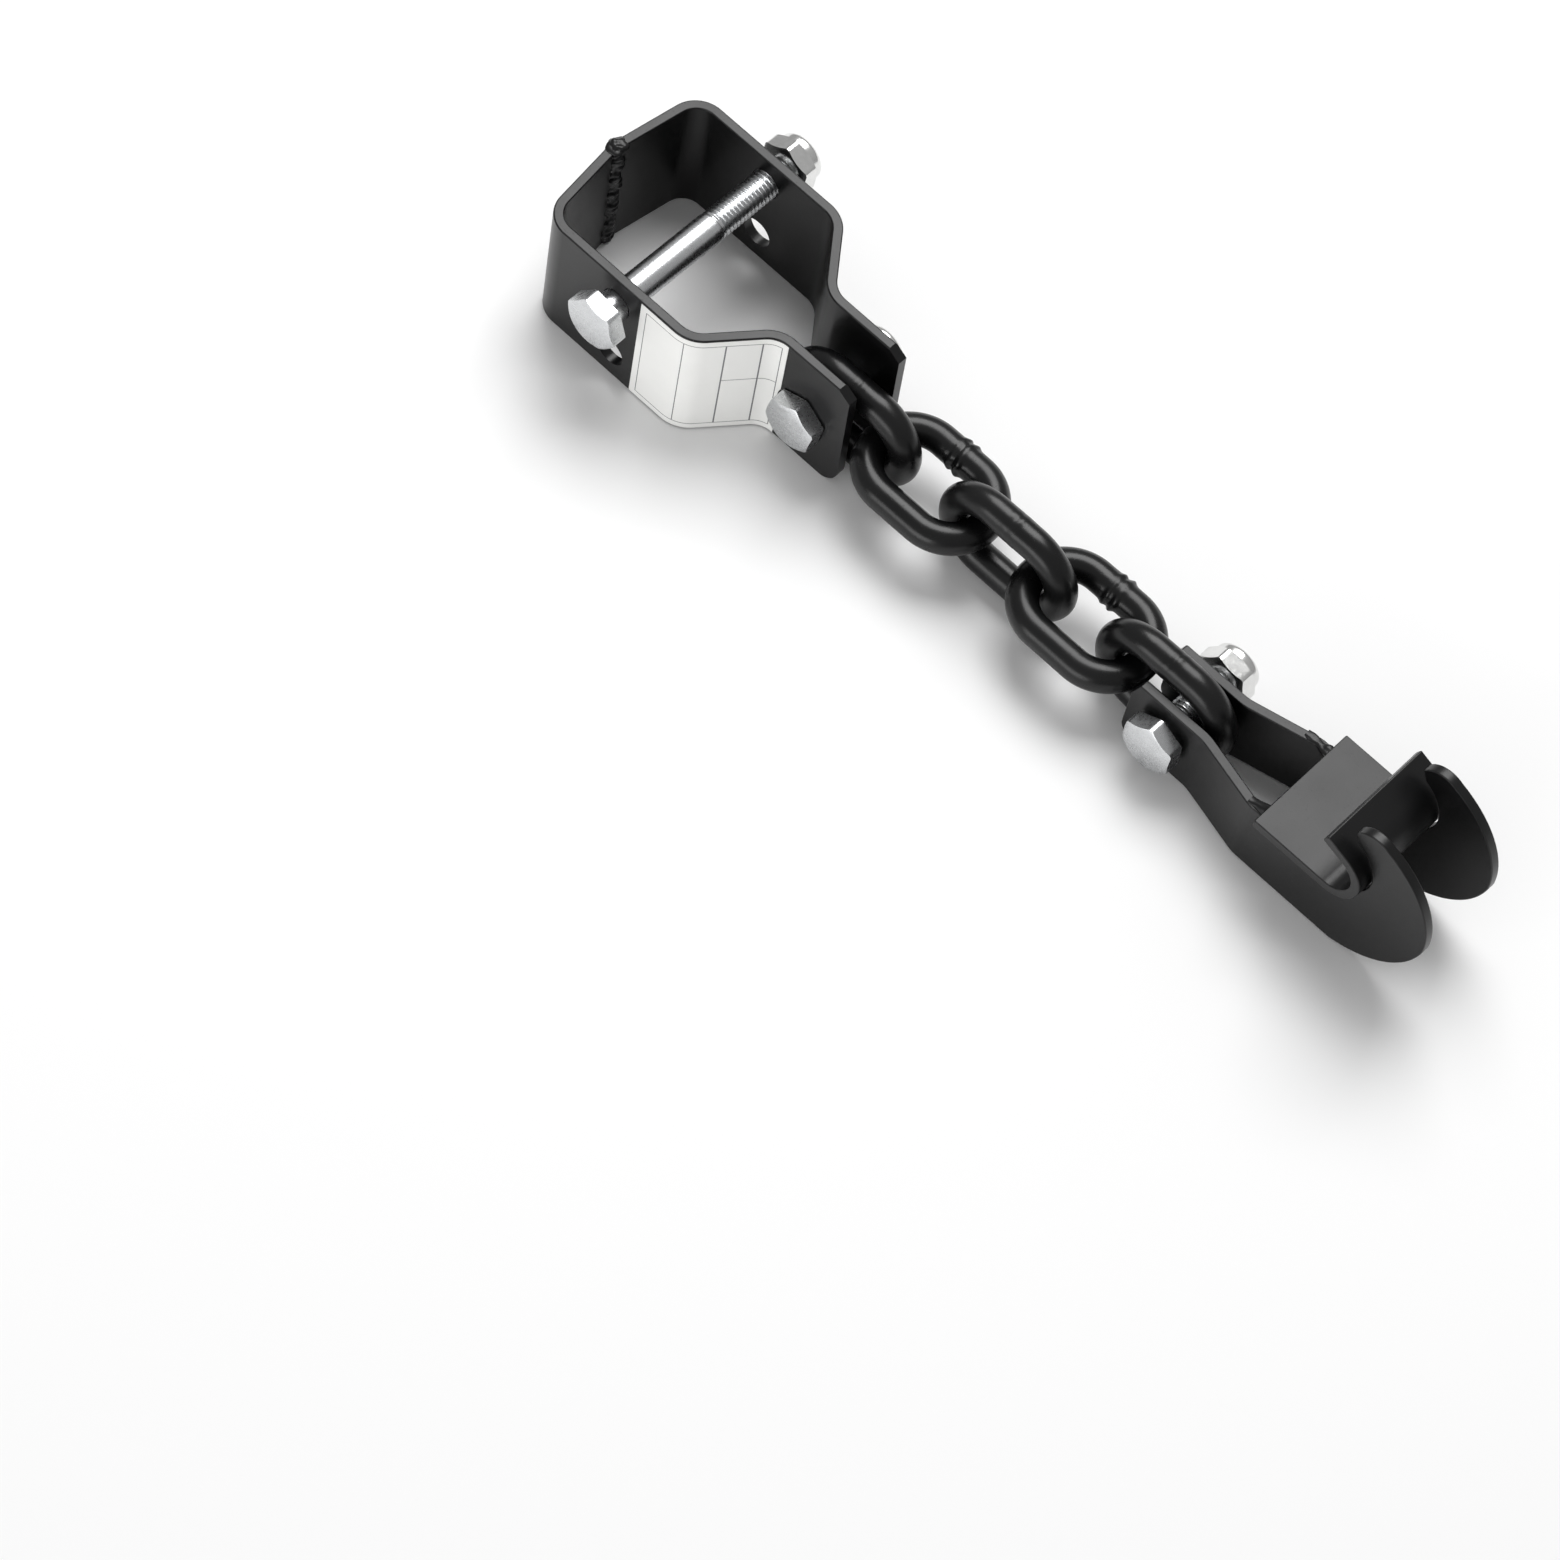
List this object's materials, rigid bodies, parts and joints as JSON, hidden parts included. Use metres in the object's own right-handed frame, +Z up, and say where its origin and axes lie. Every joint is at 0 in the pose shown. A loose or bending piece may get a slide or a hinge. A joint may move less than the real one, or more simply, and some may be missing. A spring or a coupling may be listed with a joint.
{
  "type": "farm jack lift adapter chain",
  "caption": "Bolted strap clamp with a short welded chain and a two-cheek steel hook with a curled saddle plate, for lifting with a farm jack.",
  "frame": {"origin": "middle of the clamp's lower pair of holes, on the plane of symmetry", "axes": "+X from the clamp along the chain to the hook, +Y along the holes towards the nuts, +Z up from the edge it stands on"},
  "size_m": [0.3376, 0.0914, 0.0624],
  "materials": {
    "clamp_paint": "satin black enamel over bent steel strap",
    "hook_paint": "satin black enamel over cut and bent steel plate",
    "chain_paint": "semi-gloss black enamel over welded round-wire chain",
    "zinc_bolt": "bright zinc plate on forged bolts",
    "zinc_nut": "bright zinc plate on pressed nuts",
    "nylon": "plain white nylon",
    "label_paper": "matt white film, no print"
  },
  "bodies": {
    "clamp": {"clamp_half_left": "clamp_paint", "clamp_half_right": "clamp_paint", "clamp_seam_weld": "clamp_paint", "blank_label": "label_paper"},
    "clamp_bolt": {"clamp_bolt": "zinc_bolt", "clamp_nut": "zinc_nut", "clamp_nut_insert": "nylon"},
    "ear_bolt": {"ear_bolt": "zinc_bolt", "ear_nut": "zinc_nut", "ear_nut_insert": "nylon"},
    "link_1": {"chain_link_1": "chain_paint"},
    "link_2": {"chain_link_2": "chain_paint"},
    "link_3": {"chain_link_3": "chain_paint"},
    "link_4": {"chain_link_4": "chain_paint"},
    "link_5": {"chain_link_5": "chain_paint"},
    "hook": {"hook_cheek_left": "hook_paint", "hook_cheek_right": "hook_paint", "hook_saddle_plate": "hook_paint", "hook_weld_left": "hook_paint", "hook_weld_right": "hook_paint"},
    "hook_bolt": {"hook_bolt": "zinc_bolt", "hook_nut": "zinc_nut", "hook_nut_insert": "nylon"}
  },
  "joints": [
    {"name": "clamp_bolt_slide", "type": "slide", "parent": "clamp", "child": "clamp_bolt", "axis": [0, 1, 0], "range_m": [-0.0038, 0.0052]},
    {"name": "ear_bolt_slide", "type": "slide", "parent": "clamp", "child": "ear_bolt", "axis": [0, 1, 0], "range_m": [-0.0028, 0]},
    {"name": "link_1_on_ear_bolt", "type": "hinge", "parent": "clamp", "child": "link_1", "pos_m": [0.0573, 0, 0.0095], "axis": [0, 1, 0], "range_deg": [-20, 8]},
    {"name": "link_2_on_link_1", "type": "hinge", "parent": "link_1", "child": "link_2", "pos_m": [0.08803, 0, 0.0079], "axis": [0, 0, 1], "range_deg": [-18, 18]},
    {"name": "link_3_on_link_2", "type": "hinge", "parent": "link_2", "child": "link_3", "pos_m": [0.11913, 0, 0.0079], "axis": [0, 1, 0], "range_deg": [-60, 60]},
    {"name": "link_4_on_link_3", "type": "hinge", "parent": "link_3", "child": "link_4", "pos_m": [0.15023, 0, 0.0079], "axis": [0, 0, 1], "range_deg": [-60, 60]},
    {"name": "link_5_on_link_4", "type": "hinge", "parent": "link_4", "child": "link_5", "pos_m": [0.18133, 0, 0.0079], "axis": [0, 1, 0], "range_deg": [-45, 45]},
    {"name": "hook_on_link_5", "type": "hinge", "parent": "link_5", "child": "hook", "pos_m": [0.19991, 0, 0.0048], "axis": [0, 1, 0], "range_deg": [-9, 20]},
    {"name": "hook_bolt_slide", "type": "slide", "parent": "hook", "child": "hook_bolt", "axis": [0, 1, 0], "range_m": [-0.0046, 0.0012]}
  ]
}
